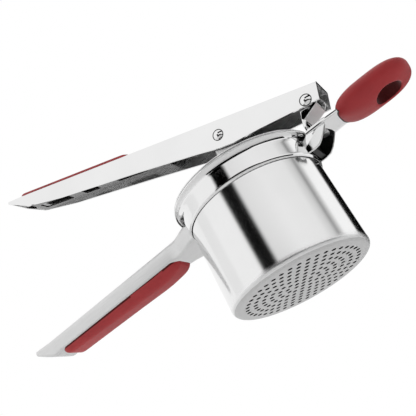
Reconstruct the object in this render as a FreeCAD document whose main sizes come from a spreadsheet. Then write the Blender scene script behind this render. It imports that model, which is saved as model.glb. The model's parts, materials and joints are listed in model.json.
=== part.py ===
"""Potato ricer: a perforated basket in a flared collar, pressed by a plunger under a hinged channel lever.

The origin is the centre of the basket's flat base. +Z runs up the basket, -X towards the two handles'
free ends and +X towards the hinge and the pot rest. The object is symmetric about the XZ plane.
Lever parts are drawn in the lever's own frame: origin on the hinge pin, X along the lever, away from its
free end, and Z up from its open side to its back. Plunger parts are drawn in the plunger's own frame:
origin on its pin, Z up along the plunger.
"""
import FreeCAD, Part
import os
import re
import Sketcher

doc = FreeCAD.newDocument("PotatoRicer")

# ---- driving dimensions: millimetres and degrees
SIZES = {
    # basket
    "basketRadius": 39.9, "basketWall": 0.8, "basketTop": 65.5, "basketCorner": 3.0,
    "flangeRadius": 44.4, "flangeSheet": 0.8,
    "holeRadius": 1.15, "holePitch": 4.59,
    # collar
    "collarGap": 0.45, "collarSheet": 0.9, "collarBottom": 50.6, "collarTop": 64.4, "collarRim": 44.7,
    "flareStart": 60.0, "flareRound": 3.0, "footReach": 1.26, "rollHeight": 2.6, "rollIn": 0.4,
    # hinge
    "pivotX": 54.0, "pivotZ": 78.6, "rivetRadius": 2.0, "rivetHead": 3.2, "rivetDome": 1.5,
    "runningGap": 0.05, "leverAngle": 20.6, "bushRadius": 3.2,
    "earOuter": 7.1, "earSheet": 1.6, "earRound": 6.0, "earGap": 0.3, "washerRadius": 4.0,
    "clevisBack": 44.9, "clevisFront": 56.4,
    # lever
    "leverHalf": 9.2, "leverSheet": 1.2, "leverBack": 8.5, "tipX": -230.0, "headX": 7.4,
    "gripStart": -219.0, "gripEnd": -120.0, "windowHalf": 5.8, "backRound": 0.9,
    "leverGripThick": 2.0, "leverGripRound": 1.5,
    "carrierSheet": 1.0, "carrierZ": -0.5, "carrierStart": -208.0, "carrierEnd": -98.0,
    "slotHalf": 3.9, "slotCorner": 1.2,
    # plunger
    "pinX": -54.4, "pinZ": -1.1, "swing": 4.23, "plungerDrop": 71.5, "discRadius": 36.2, "discSheet": 1.6,
    "discRim": 2.4, "discRound": 0.7, "yokeFoot": 2.0, "legHalf": 7.0, "legRound": 6.5,
    "discRivetX": 4.6, "discRivetRadius": 1.6, "armRivetRadius": 1.4, "smallHead": 0.8,
    # lower handle
    "handleHalf": 9.0, "handleSheet": 1.1, "handleRoot": -40.0, "handleTip": -178.6, "coreGap": 0.2,
    "handleRound": 4.5, "flareZ": 56.5, "flareThick": 9.0, "lowerGripRound": 3.0,
    "lowerGripStart": -157.0, "lowerGripEnd": -56.5, "lowerGripLow": 43.4,
    # pot rest
    "armTop": 63.6, "armSheet": 2.0, "armHalf": 9.6, "armEnd": 76.0,
    "knobX": 83.4, "knobZ": 63.0, "knobLong": 21.2, "knobWide": 13.9, "knobThick": 7.8,
    "knobCorner": 11.5, "knobSoft": 7.0, "knobHoleX": 89.0, "knobHoleRadius": 7.4,
    # long enough to drill through any piece from its middle plane
    "drill": 160.0,
}

sheet = doc.addObject("Spreadsheet::Sheet", "Sizes")
sheet.Label = "sizes"
for row, (alias, value) in enumerate(SIZES.items(), start=1):
    sheet.set(f"A{row}", alias)
    sheet.set(f"B{row}", str(value))
    sheet.setAlias(f"B{row}", alias)
doc.recompute()

pieces = []


def bound(expression):
    """The expression with each size's name written as the sheet's cell."""
    return re.sub(r"\b([a-z][A-Za-z]+)\b", lambda m: f"Sizes.{m[1]}" if m[1] in SIZES else m[1], expression)


def number(expression):
    """The number an expression has now, worked out by the sheet itself."""
    sheet.set("D1", "=" + expression)
    sheet.recompute()
    return float(sheet.get("D1"))


def bind(item, **properties):
    """Binds properties, with __ for a dot, to expressions on the sheet."""
    for name, expression in properties.items():
        item.setExpression(name.replace("__", "."), bound(expression))


def keep(item, label):
    """Marks an object as a finished piece and gives it its node name."""
    item.Label = label
    pieces.append(item)
    return item


# ---- sketches and solid features

def new_body(label):
    return keep(doc.addObject("PartDesign::Body", "Body_" + label), label)


def new_sketch(body, plane, name):
    sketch = body.newObject("Sketcher::SketchObject", name)
    origin_plane = next(f for f in body.Origin.OriginFeatures if f.Role == plane)
    sketch.AttachmentSupport = [(origin_plane, "")]
    sketch.MapMode = "FlatFace"
    return sketch


def hold(sketch, kind, *ends, size):
    """A constraint whose value is an expression."""
    index = sketch.addConstraint(Sketcher.Constraint(kind, *ends, number(size)))
    sketch.setExpression(f"Constraints[{index}]", bound(size))


def polygon(sketch, corners):
    """A closed outline; each corner is a pair of expressions."""
    places = [FreeCAD.Vector(number(x), number(y), 0) for x, y in corners]
    first = sketch.GeometryCount
    count = len(places)
    for i in range(count):
        sketch.addGeometry(Part.LineSegment(places[i], places[(i + 1) % count]), False)
    for i in range(count):
        sketch.addConstraint(Sketcher.Constraint("Coincident", first + i, 2, first + (i + 1) % count, 1))
    for i, (x, y) in enumerate(corners):
        hold(sketch, "DistanceX", -1, 1, first + i, 1, size=x)
        hold(sketch, "DistanceY", -1, 1, first + i, 1, size=y)


def circle(sketch, x, y, radius):
    place = FreeCAD.Vector(number(x), number(y), 0)
    i = sketch.addGeometry(Part.Circle(place, FreeCAD.Vector(0, 0, 1), number(radius)), False)
    hold(sketch, "DistanceX", -1, 1, i, 3, size=x)
    hold(sketch, "DistanceY", -1, 1, i, 3, size=y)
    hold(sketch, "Radius", i, size=radius)


def feature(body, kind, name, sketch):
    item = body.newObject("PartDesign::" + kind, name)
    item.Profile = sketch
    return item


def across(body, kind, name, sketch, width):
    """A pad or pocket by the given width, half to each side of its sketch."""
    item = feature(body, kind, name, sketch)
    item.Midplane = True
    bind(item, Length=width)
    return item


def raised(sketch, height):
    """Lifts a sketch along its own normal."""
    bind(sketch, AttachmentOffset__Base__z=height)


def turned(body, kind, name, sketch):
    """A revolution or groove of a sketch once round its vertical axis."""
    item = feature(body, kind, name, sketch)
    item.ReferenceAxis = (sketch, ["V_Axis"])
    item.Angle = 360.0
    return item


def through(body, name, places, radius, plane="XZ_Plane"):
    """Round holes right through the body."""
    sketch = new_sketch(body, plane, name + "_circles")
    for x, y in places:
        circle(sketch, x, y, radius)
    return across(body, "Pocket", name, sketch, "drill")


def rounded(body, name, radius, chosen):
    """A fillet on the edges of the body's tip that chosen picks."""
    doc.recompute()
    edges = [f"Edge{i}" for i, edge in enumerate(body.Tip.Shape.Edges, start=1) if chosen(edge)]
    base = body.Tip
    item = body.newObject("PartDesign::Fillet", name)
    item.Base = (base, edges)
    bind(item, Radius=radius)
    return item


def along(edge, axis):
    """Whether a straight edge runs along a unit vector."""
    if edge.Curve.TypeId != "Part::GeomLine":
        return False
    return abs(edge.tangentAt(edge.FirstParameter).dot(axis)) > 0.999


def middle(edge):
    return edge.CenterOfMass


def ring_at(edge, radius, height):
    """Whether an edge is a circle of a radius at a height, each an expression."""
    if edge.Curve.TypeId != "Part::GeomCircle":
        return False
    return abs(edge.Curve.Radius - number(radius)) < 0.01 and abs(edge.Curve.Center.z - number(height)) < 0.01


X_AXIS = FreeCAD.Vector(1, 0, 0)
Y_AXIS = FreeCAD.Vector(0, 1, 0)
Z_AXIS = FreeCAD.Vector(0, 0, 1)


def placed(item, x, z, angle):
    """Turns a piece about +Y and moves it, all by expressions."""
    item.Placement = FreeCAD.Placement(FreeCAD.Vector(), FreeCAD.Rotation(Y_AXIS, 1))
    bind(item, Placement__Base__x=x, Placement__Base__z=z, Placement__Rotation__Angle=angle)
    return item


def in_lever(item):
    """Places a piece drawn in the lever's frame."""
    return placed(item, "pivotX", "pivotZ", "leverAngle")


PIN_AT_X = "pivotX + pinX * cos(leverAngle) + pinZ * sin(leverAngle)"
PIN_AT_Z = "pivotZ - pinX * sin(leverAngle) + pinZ * cos(leverAngle)"


def in_plunger(item):
    """Places a piece drawn in the plunger's frame."""
    return placed(item, PIN_AT_X, PIN_AT_Z, "swing")


# ---- primitives

def cylinder(name, radius, height, x="0", y="0", z="0", lying=False):
    """A round bar from (x, y, z) up, or towards -Y where it lies."""
    item = doc.addObject("Part::Cylinder", name)
    if lying:
        item.Placement = FreeCAD.Placement(FreeCAD.Vector(), FreeCAD.Rotation(X_AXIS, 90))
    bind(item, Radius=radius, Height=height, Placement__Base__x=x, Placement__Base__y=y, Placement__Base__z=z)
    return item


def cut(name, base, tool):
    item = doc.addObject("Part::Cut", name)
    item.Base = base
    item.Tool = tool
    return item


def fuse(name, shapes):
    item = doc.addObject("Part::MultiFuse", name)
    item.Shapes = shapes
    return item


def tube(name, outer, inner, length, x="0", z="0"):
    """A lying tube, half its length to each side of the middle plane."""
    half = f"({length}) / 2"
    skin = cylinder(name + "_skin", outer, length, x=x, y=half, z=z, lying=True)
    hollow = cylinder(name + "_hollow", inner, length, x=x, y=half, z=z, lying=True)
    return cut(name, skin, hollow)


def dome(name, y, x, z, side):
    """A rivet's domed head on a face at y; side is 1 or -1."""
    item = doc.addObject("Part::Sphere", name)
    ball = "(rivetHead * rivetHead + rivetDome * rivetDome) / (2 * rivetDome)"
    item.Placement = FreeCAD.Placement(FreeCAD.Vector(), FreeCAD.Rotation(X_AXIS, -90 * side))
    bind(item, Radius=ball, Angle1=f"asin(({ball} - rivetDome) / ({ball}))")
    bind(item, Placement__Base__x=x, Placement__Base__z=z,
         Placement__Base__y=f"{y} - {side} * (({ball}) - rivetDome)")
    return item


def domed_rivet(label, x, z):
    """A rivet through the lever with a domed head on each wall."""
    shank = cylinder(label + "_shank", "rivetRadius", "2 * leverHalf", x=x, y="leverHalf", z=z, lying=True)
    heads = [
        dome(label + "_head_left", "leverHalf", x, z, 1),
        dome(label + "_head_right", "-leverHalf", x, z, -1),
    ]
    return in_lever(keep(fuse(label, [shank, *heads]), label))


def washers(label, x, z):
    """Two washers against the lever's inner walls."""
    inner = "leverHalf - leverSheet"
    ring = tube(label + "_ring", "washerRadius", "rivetRadius", f"2 * ({inner})", x=x, z=z)
    reach = "earOuter + earGap"
    gap = cylinder(label + "_gap", "2 * washerRadius", f"2 * ({reach})", x=x, y=reach, z=z, lying=True)
    return in_lever(keep(cut(label, ring, gap), label))


def rivet_rows(label, places, bottom, length, radius):
    """Small upright rivets with a flat head at their lower end, all in one piece."""
    parts = []
    for n, (x, y) in enumerate(places):
        shank = cylinder(f"{label}_shank{n}", radius, length, x=x, y=y, z=bottom)
        head = cylinder(f"{label}_head{n}", f"1.7 * ({radius})", "smallHead",
                        x=x, y=y, z=f"{bottom} - smallHead")
        parts += [shank, head]
    return keep(fuse(label, parts), label)


# ---- the collar and what is fixed to it

COLLAR_IN = "basketRadius + collarGap"
COLLAR_OUT = "basketRadius + collarGap + collarSheet"
COLLAR_PROFILE = [
    (COLLAR_IN, "collarBottom"),
    (f"{COLLAR_OUT} - rollIn", "collarBottom"),
    (COLLAR_OUT, "collarBottom + rollHeight"),
    (COLLAR_OUT, "flareStart"),
    ("collarRim", "collarTop - collarSheet"),
    ("collarRim", "collarTop"),
    ("collarRim - 0.9", "collarTop"),
    (COLLAR_IN, "flareStart + 0.6"),
]


def make_collar():
    body = new_body("collar_ring")
    sketch = new_sketch(body, "XZ_Plane", "collar_profile")
    polygon(sketch, COLLAR_PROFILE)
    turned(body, "Revolution", "collar_turned", sketch)
    rounded(body, "collar_flare", "flareRound", lambda e: ring_at(e, COLLAR_OUT, "flareStart"))


def clear_of_collar(body, name):
    """Cuts a body back to the collar's outside, straight across the flare's rounded foot.

    footReach is how far the rounding runs down the band; the flare leans out at 45 degrees.
    """
    lean = "footReach * cos(45 deg)"
    sketch = new_sketch(body, "XZ_Plane", name + "_profile")
    polygon(sketch, [
        ("0", "collarBottom - 30"),
        (f"{COLLAR_OUT} - rollIn", "collarBottom - 30"),
        (f"{COLLAR_OUT} - rollIn", "collarBottom"),
        (COLLAR_OUT, "collarBottom + rollHeight"),
        (COLLAR_OUT, "flareStart - footReach"),
        (f"{COLLAR_OUT} + {lean}", f"flareStart + {lean}"),
        ("collarRim", "collarTop - collarSheet"),
        ("collarRim", "collarTop + 20"),
        ("0", "collarTop + 20"),
    ])
    turned(body, "Groove", name, sketch)


# The handle's side view: root at the collar, undercut tip at the free end.
HANDLE_SIDE = [
    ("handleRoot", "50.2"), ("handleRoot", "62.8"), ("handleTip", "58.8"),
    ("handleTip", "54.6"), ("handleTip + 14.5", "45.8"), ("lowerGripStart", "46.9"), ("lowerGripEnd", "49.4"),
]


def make_lower_handle():
    body = new_body("lower_handle")
    side = new_sketch(body, "XZ_Plane", "handle_side")
    polygon(side, HANDLE_SIDE)
    across(body, "Pad", "handle_bar", side, "2 * handleHalf")
    rounded(body, "handle_back", "handleRound", lambda e: e.Curve.TypeId == "Part::GeomLine"
            and 60 < middle(e).z < 62 and abs(middle(e).y) > 8)
    flare = new_sketch(body, "XY_Plane", "root_flare_plan")
    polygon(flare, [
        ("-34", "-17"), ("-34", "17"), ("-44", "13.2"), ("-52", "handleHalf"),
        ("-60", "handleHalf"), ("-60", "-handleHalf"), ("-52", "-handleHalf"), ("-44", "-13.2"),
    ])
    raised(flare, "flareZ")
    across(body, "Pad", "root_flare", flare, "flareThick")
    for name, rise, inset in (("low", "0", "0"), ("high", "2.2", "2.4")):
        hollow = new_sketch(body, "XZ_Plane", f"handle_hollow_{name}")
        polygon(hollow, [("lowerGripEnd", "40"), ("lowerGripEnd", f"58.9 + {rise}"),
                         ("lowerGripStart", f"56.0 + {rise}"), ("lowerGripStart", "40")])
        across(body, "Pocket", f"handle_open_{name}", hollow,
               f"2 * (handleHalf - handleSheet - {inset})")
    clear_of_collar(body, "handle_seat")


def make_handle_core():
    body = new_body("lower_handle_core")
    side = new_sketch(body, "XZ_Plane", "core_side")
    polygon(side, [("lowerGripEnd - 2", "51.1"), ("lowerGripEnd - 2", "57.0"), ("lowerGripStart + 2", "54.2"),
                   ("lowerGripStart + 2", "48.6")])
    across(body, "Pad", "core_bar", side, "2 * (handleHalf - handleSheet - coreGap)")


def make_handle_grip():
    body = new_body("lower_handle_grip")
    side = new_sketch(body, "XZ_Plane", "grip_side")
    polygon(side, [
        ("lowerGripEnd - 0.3", "51.0"), ("lowerGripStart + 0.3", "48.4"),
        ("lowerGripStart + 0.3", "lowerGripLow + 1.6"), ("lowerGripStart + 6", "lowerGripLow - 0.4"),
        ("lowerGripEnd - 7", "lowerGripLow + 1.2"), ("lowerGripEnd - 0.3", "lowerGripLow + 3.6"),
    ])
    across(body, "Pad", "grip_bar", side, "2 * (handleHalf - handleSheet - runningGap)")
    rounded(body, "grip_round", "lowerGripRound", lambda e: e.Curve.TypeId == "Part::GeomLine"
            and middle(e).z < 46.5 and abs(middle(e).y) > 6)


ARM_RIVETS = [("51", "-3"), ("51", "3")]


# The clevis: a foot on the arm, a riser past the collar's rim, and a web carrying two ears up to the pin.
def make_hinge_bracket():
    body = new_body("hinge_bracket")
    side = new_sketch(body, "XZ_Plane", "clevis_side")
    polygon(side, [
        ("clevisBack", "armTop"), ("clevisBack", "67.8"), ("46.2", "71.8"),
        ("pivotX - earRound", "pivotZ - 2"), ("pivotX - earRound + 1.5", "pivotZ + 3.6"),
        ("pivotX - 3", "pivotZ + earRound - 0.6"), ("pivotX + 3", "pivotZ + earRound - 0.6"),
        ("pivotX + earRound - 1.5", "pivotZ + 3.6"), ("pivotX + earRound", "pivotZ - 1"),
        ("pivotX + 4.5", "pivotZ - 3.6"), ("clevisFront", "73.9"), ("47.4", "70.7"),
        ("clevisBack + earSheet", "67.4"), ("clevisBack + earSheet", "armTop + earSheet"),
        ("clevisFront", "armTop + earSheet"), ("clevisFront", "armTop"),
    ])
    across(body, "Pad", "clevis_block", side, "2 * earOuter")
    gap = new_sketch(body, "XZ_Plane", "clevis_gap_side")
    polygon(gap, [("46.6", "72.2"), ("60", "76.8"), ("66", "78"), ("66", "90"), ("40", "90"), ("40", "72.2")])
    across(body, "Pocket", "clevis_gap", gap, "2 * (earOuter - earSheet)")
    through(body, "clevis_bore", [("pivotX", "pivotZ")], "rivetRadius + runningGap")
    through(body, "clevis_rivet_holes", ARM_RIVETS, "armRivetRadius", "XY_Plane")
    clear_of_collar(body, "clevis_seat")


def make_arm():
    body = new_body("pot_rest_arm")
    plan = new_sketch(body, "XY_Plane", "arm_plan")
    polygon(plan, [
        ("38", "-armHalf"), ("56", "-armHalf"), ("64", "-armHalf + 0.8"), ("armEnd", "-armHalf + 4"),
        ("armEnd", "armHalf - 4"), ("64", "armHalf - 0.8"), ("56", "armHalf"), ("38", "armHalf"),
    ])
    raised(plan, "armTop - armSheet / 2")
    across(body, "Pad", "arm_strip", plan, "armSheet")
    cheeks = new_sketch(body, "XZ_Plane", "cheek_side")
    polygon(cheeks, [
        ("38", "52.4"), ("43.5", "52.4"), ("47.2", "53.0"), ("52.2", "57.6"),
        ("55.6", "62.0"), ("55.6", "62.6"), ("38", "62.6"),
    ])
    across(body, "Pad", "cheek_block", cheeks, "2 * armHalf")
    inside = new_sketch(body, "XZ_Plane", "cheek_inside")
    polygon(inside, [("30", "45"), ("70", "45"), ("70", "armTop - armSheet"), ("30", "armTop - armSheet")])
    across(body, "Pocket", "cheek_gap", inside, "2 * (armHalf - earSheet)")
    through(body, "arm_rivet_holes", ARM_RIVETS, "armRivetRadius", "XY_Plane")
    clear_of_collar(body, "arm_seat")


def make_knob():
    body = new_body("pot_rest_grip")
    plan = new_sketch(body, "XY_Plane", "knob_plan")
    polygon(plan, [
        ("knobX - knobLong", "-knobWide"), ("knobX + knobLong", "-knobWide"),
        ("knobX + knobLong", "knobWide"), ("knobX - knobLong", "knobWide"),
    ])
    raised(plan, "knobZ")
    across(body, "Pad", "knob_block", plan, "2 * knobThick")
    rounded(body, "knob_corners", "knobCorner", lambda e: along(e, Z_AXIS))
    rounded(body, "knob_soft_edges", "knobSoft",
            lambda e: abs(abs(middle(e).z - SIZES["knobZ"]) - SIZES["knobThick"]) < 0.01)
    through(body, "knob_hole", [("knobHoleX", "0")], "knobHoleRadius", "XY_Plane")
    slot = new_sketch(body, "XY_Plane", "knob_slot_plan")
    polygon(slot, [("50", "-armHalf"), ("armEnd", "-armHalf"), ("armEnd", "armHalf"), ("50", "armHalf")])
    raised(slot, "armTop - armSheet / 2")
    across(body, "Pocket", "knob_slot", slot, "armSheet")


# ---- the basket

HOLE_RINGS = 7


def make_basket():
    body = new_body("basket")
    sketch = new_sketch(body, "XZ_Plane", "basket_profile")
    polygon(sketch, [
        ("0", "0"), ("basketRadius", "0"),
        ("basketRadius", "basketTop - flangeSheet"), ("flangeRadius", "basketTop - flangeSheet"),
        ("flangeRadius", "basketTop"), ("basketRadius - basketWall", "basketTop"),
        ("basketRadius - basketWall", "basketWall"), ("0", "basketWall"),
    ])
    turned(body, "Revolution", "basket_turned", sketch)
    rounded(body, "basket_outer_corner", "basketCorner", lambda e: ring_at(e, "basketRadius", "0"))
    rounded(body, "basket_inner_corner", "basketCorner - basketWall",
            lambda e: ring_at(e, "basketRadius - basketWall", "basketWall"))
    rounded(body, "basket_lip", "0.7", lambda e: ring_at(e, "basketRadius - basketWall", "basketTop"))
    through(body, "centre_hole", [("0", "0")], "holeRadius", "XY_Plane")
    for ring in range(1, HOLE_RINGS + 1):
        place = (f"{ring} * holePitch", "0")
        first = through(body, f"ring{ring}_first_hole", [place], "holeRadius", "XY_Plane")
        pattern = body.newObject("PartDesign::PolarPattern", f"ring{ring}_holes")
        pattern.Originals = [first]
        pattern.Axis = (first.Profile[0], ["N_Axis"])
        pattern.Angle = 360.0
        pattern.Occurrences = 6 * ring
        body.Tip = pattern


# ---- the lever

def make_lever_channel():
    body = new_body("lever_channel")
    side = new_sketch(body, "XZ_Plane", "channel_side")
    polygon(side, [
        ("headX", "leverBack"), ("-218", "leverBack"),
        ("tipX", "leverBack - 0.6"), ("tipX", "leverBack - 2.8"),
        ("-211", "-0.5"), ("-180", "-3.3"), ("-112", "-5.8"), ("-68", "-8.0"), ("-54.4", "-9.2"),
        ("-46", "-9.0"), ("-28", "-6.4"), ("-4", "-3.6"), ("headX", "-1.9"),
    ])
    across(body, "Pad", "channel_block", side, "2 * leverHalf")
    inside = new_sketch(body, "XZ_Plane", "channel_inside")
    polygon(inside, [("40", "leverBack - leverSheet"), ("-224", "leverBack - leverSheet"), ("-224", "-30"),
                     ("40", "-30")])
    across(body, "Pocket", "channel_gap", inside, "2 * (leverHalf - leverSheet)")
    window = new_sketch(body, "XY_Plane", "grip_window_plan")
    polygon(window, [
        ("gripStart + 5", "-windowHalf"), ("gripEnd - 5", "-windowHalf"),
        ("gripEnd - 5", "windowHalf"), ("gripStart + 5", "windowHalf"),
    ])
    raised(window, "leverBack - leverSheet / 2")
    across(body, "Pocket", "grip_window", window, "3 * leverSheet")
    through(body, "pin_holes", [("0", "0"), ("pinX", "pinZ")], "rivetRadius")
    rounded(body, "channel_back", "backRound",
            lambda e: along(e, X_AXIS) and middle(e).z > 8 and abs(middle(e).y) > 9)
    in_lever(body)


# Each slot's two ends along the lever.
CARRIER_SLOTS = [("-204", "-178"), ("-167", "-154"), ("-138", "-114")]


def make_grip_carrier():
    body = new_body("grip_carrier")
    plan = new_sketch(body, "XY_Plane", "carrier_plan")
    inner = "leverHalf - leverSheet"
    polygon(plan, [
        ("carrierStart", f"-({inner})"), ("carrierEnd", f"-({inner})"),
        ("carrierEnd", inner), ("carrierStart", inner),
    ])
    raised(plan, "carrierZ")
    across(body, "Pad", "carrier_plate", plan, "carrierSheet")
    slots = new_sketch(body, "XY_Plane", "carrier_slot_plan")
    for low, high in CARRIER_SLOTS:
        polygon(slots, [(low, "-slotHalf"), (high, "-slotHalf"), (high, "slotHalf"), (low, "slotHalf")])
    across(body, "Pocket", "carrier_slots", slots, "8 * carrierSheet")
    rounded(body, "slot_corners", "slotCorner", lambda e: along(e, Z_AXIS) and abs(middle(e).y) < 5)
    in_lever(body)


def make_grip_core():
    body = new_body("grip_core")
    side = new_sketch(body, "XZ_Plane", "lever_core_side")
    polygon(side, [
        ("carrierStart + 3", "2.2"), ("carrierEnd - 18", "2.2"),
        ("carrierEnd - 18", "leverBack - leverSheet"), ("carrierStart + 3", "leverBack - leverSheet"),
    ])
    across(body, "Pad", "lever_core_bar", side, "2 * (leverHalf - leverSheet - coreGap)")
    in_lever(body)


def make_lever_grip():
    body = new_body("lever_grip")
    plan = new_sketch(body, "XY_Plane", "lever_grip_plan")
    polygon(plan, [
        ("gripStart", "-leverHalf + 2.5"), ("gripStart + 4", "-leverHalf + 0.2"),
        ("gripEnd - 4", "-leverHalf + 0.2"), ("gripEnd", "-leverHalf + 2.5"),
        ("gripEnd", "leverHalf - 2.5"), ("gripEnd - 4", "leverHalf - 0.2"),
        ("gripStart + 4", "leverHalf - 0.2"), ("gripStart", "leverHalf - 2.5"),
    ])
    raised(plan, "leverBack + leverGripThick / 2")
    across(body, "Pad", "lever_grip_strip", plan, "leverGripThick")
    plug = new_sketch(body, "XY_Plane", "lever_grip_plug")
    polygon(plug, [
        ("gripStart + 5.2", "-windowHalf + 0.1"), ("gripEnd - 5.2", "-windowHalf + 0.1"),
        ("gripEnd - 5.2", "windowHalf - 0.1"), ("gripStart + 5.2", "windowHalf - 0.1"),
    ])
    raised(plug, "leverBack - 0.1")
    across(body, "Pad", "lever_grip_key", plug, "leverGripThick")
    rounded(body, "lever_grip_crown", "leverGripRound",
            lambda e: along(e, X_AXIS) and middle(e).z > 10 and abs(middle(e).y) > 8)
    in_lever(body)


# ---- the plunger

DISC_RIVETS = [("-discRivetX", "0"), ("discRivetX", "0")]


def make_yoke():
    body = new_body("plunger_yoke")
    front = new_sketch(body, "XZ_Plane", "leg_side")
    polygon(front, [
        ("-legHalf - 1", "-plungerDrop + discSheet"), ("legHalf + 1", "-plungerDrop + discSheet"),
        ("legHalf + 1", "-plungerDrop + 6"), ("legHalf - 1", "-plungerDrop + 16"),
        ("legRound", "-2"), ("legRound - 0.6", "2.6"), ("2.6", "legRound - 0.6"),
        ("-2.6", "legRound - 0.6"), ("-legRound + 0.6", "2.6"), ("-legRound", "-2"),
        ("-legHalf + 1", "-plungerDrop + 16"), ("-legHalf - 1", "-plungerDrop + 6"),
    ])
    across(body, "Pad", "yoke_block", front, "2 * earOuter")
    inside = new_sketch(body, "XZ_Plane", "yoke_inside")
    floor = "-plungerDrop + discSheet + yokeFoot"
    polygon(inside, [("-20", floor), ("20", floor), ("20", "20"), ("-20", "20")])
    across(body, "Pocket", "yoke_gap", inside, "2 * (earOuter - earSheet)")
    through(body, "yoke_bore", [("0", "0")], "rivetRadius + runningGap")
    through(body, "foot_holes", DISC_RIVETS, "discRivetRadius", "XY_Plane")
    in_plunger(body)


def make_disc():
    body = new_body("plunger_disc")
    sketch = new_sketch(body, "XZ_Plane", "disc_profile")
    low = "-plungerDrop"
    polygon(sketch, [
        ("0", low), ("discRadius", low), ("discRadius", f"{low} + discRim"),
        ("discRadius - discSheet", f"{low} + discRim"), ("discRadius - discSheet", f"{low} + discSheet"),
        ("0", f"{low} + discSheet"),
    ])
    turned(body, "Revolution", "disc_turned", sketch)
    rounded(body, "disc_edge", "discRound",
            lambda e: ring_at(e, "discRadius", low) or ring_at(e, "discRadius", f"{low} + discRim"))
    through(body, "disc_holes", DISC_RIVETS, "discRivetRadius", "XY_Plane")
    in_plunger(body)


BUSH_LENGTH = "2 * (earOuter - earSheet)"
BUSH_BORE = "rivetRadius + runningGap"

make_collar()
make_lower_handle()
make_handle_core()
make_handle_grip()
make_hinge_bracket()
keep(tube("hinge_bush", "bushRadius", BUSH_BORE, BUSH_LENGTH, "pivotX", "pivotZ"), "hinge_bush")
make_arm()
rivet_rows("arm_rivets", ARM_RIVETS, "armTop - armSheet", "armSheet + earSheet + smallHead", "armRivetRadius")
make_knob()
make_basket()
make_lever_channel()
make_grip_carrier()
make_grip_core()
make_lever_grip()
domed_rivet("pivot_rivet", "0", "0")
domed_rivet("plunger_rivet", "pinX", "pinZ")
washers("pivot_washers", "0", "0")
washers("plunger_washers", "pinX", "pinZ")
make_yoke()
make_disc()
in_plunger(keep(tube("plunger_bush", "bushRadius", BUSH_BORE, BUSH_LENGTH), "plunger_bush"))
in_plunger(rivet_rows("disc_rivets", DISC_RIVETS, "-plungerDrop", "discSheet + yokeFoot + smallHead",
                      "discRivetRadius"))

doc.recompute()
for item in doc.Objects:
    if "Invalid" in item.State or "Error" in item.State:
        raise RuntimeError(f"{item.Label} did not recompute: {item.State}")
os.makedirs("parts", exist_ok=True)
for piece in pieces:
    shape = piece.Shape
    if shape.isNull() or not shape.isValid():
        raise RuntimeError(f"{piece.Label} has no valid shape")
    shape.exportStep(f"parts/{piece.Label}.step")
    box = shape.BoundBox
    print(f"{piece.Label:20s} solids {len(shape.Solids)}  {shape.Volume:9.1f} mm3"
          f"  x {box.XMin:7.1f} {box.XMax:7.1f}  y {box.YMin:6.1f} {box.YMax:6.1f}"
          f"  z {box.ZMin:6.1f} {box.ZMax:6.1f}")
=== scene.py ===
import bmesh
import bpy
import json
import math
from mathutils import Matrix, Vector


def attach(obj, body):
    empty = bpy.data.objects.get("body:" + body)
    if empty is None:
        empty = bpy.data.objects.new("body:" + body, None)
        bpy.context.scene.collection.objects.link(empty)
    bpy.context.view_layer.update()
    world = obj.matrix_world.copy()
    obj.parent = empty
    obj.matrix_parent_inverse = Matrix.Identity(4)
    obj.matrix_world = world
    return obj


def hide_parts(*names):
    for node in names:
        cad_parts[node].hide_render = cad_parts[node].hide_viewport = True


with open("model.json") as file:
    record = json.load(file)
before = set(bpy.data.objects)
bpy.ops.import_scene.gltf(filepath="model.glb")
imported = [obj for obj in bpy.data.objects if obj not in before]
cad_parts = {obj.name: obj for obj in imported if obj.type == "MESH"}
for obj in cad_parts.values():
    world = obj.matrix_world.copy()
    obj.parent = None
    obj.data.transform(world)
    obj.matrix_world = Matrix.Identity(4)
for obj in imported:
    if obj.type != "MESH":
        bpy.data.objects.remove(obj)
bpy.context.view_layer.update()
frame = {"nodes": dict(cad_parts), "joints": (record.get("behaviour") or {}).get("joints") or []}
print("frame loaded:", len(frame["nodes"]), "nodes")

# Pieces are modelled in millimetres and scaled to metres when they are finished.
mm = 0.001
jointAt = {j["name"]: Vector(j["pos_m"]) / mm for j in frame["joints"]}
leverAngle = math.radians(20.6)
placeLever = Matrix.Translation(jointAt["lever_hinge"]) @ Matrix.Rotation(leverAngle, 4, "Y")
atRest = Matrix.Identity(4)


class Value:
    # a socket that can be used in sums
    def __init__(self, shader, socket):
        self.shader = shader
        self.socket = socket

    def maths(self, operation, first, second=0.0, clamp=False):
        # one maths node
        settings = {"operation": operation, "use_clamp": clamp}
        return self.shader.node("ShaderNodeMath", settings, {0: first, 1: second})

    def __add__(self, other):
        return self.maths("ADD", self, other)

    def __radd__(self, other):
        return self.maths("ADD", other, self)

    def __sub__(self, other):
        return self.maths("SUBTRACT", self, other)

    def __rsub__(self, other):
        return self.maths("SUBTRACT", other, self)

    def __mul__(self, other):
        return self.maths("MULTIPLY", self, other)

    def __rmul__(self, other):
        return self.maths("MULTIPLY", other, self)

    def __truediv__(self, other):
        return self.maths("DIVIDE", self, other)

    def clamped(self):
        return self.maths("ADD", self, 0.0, clamp=True)


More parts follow.
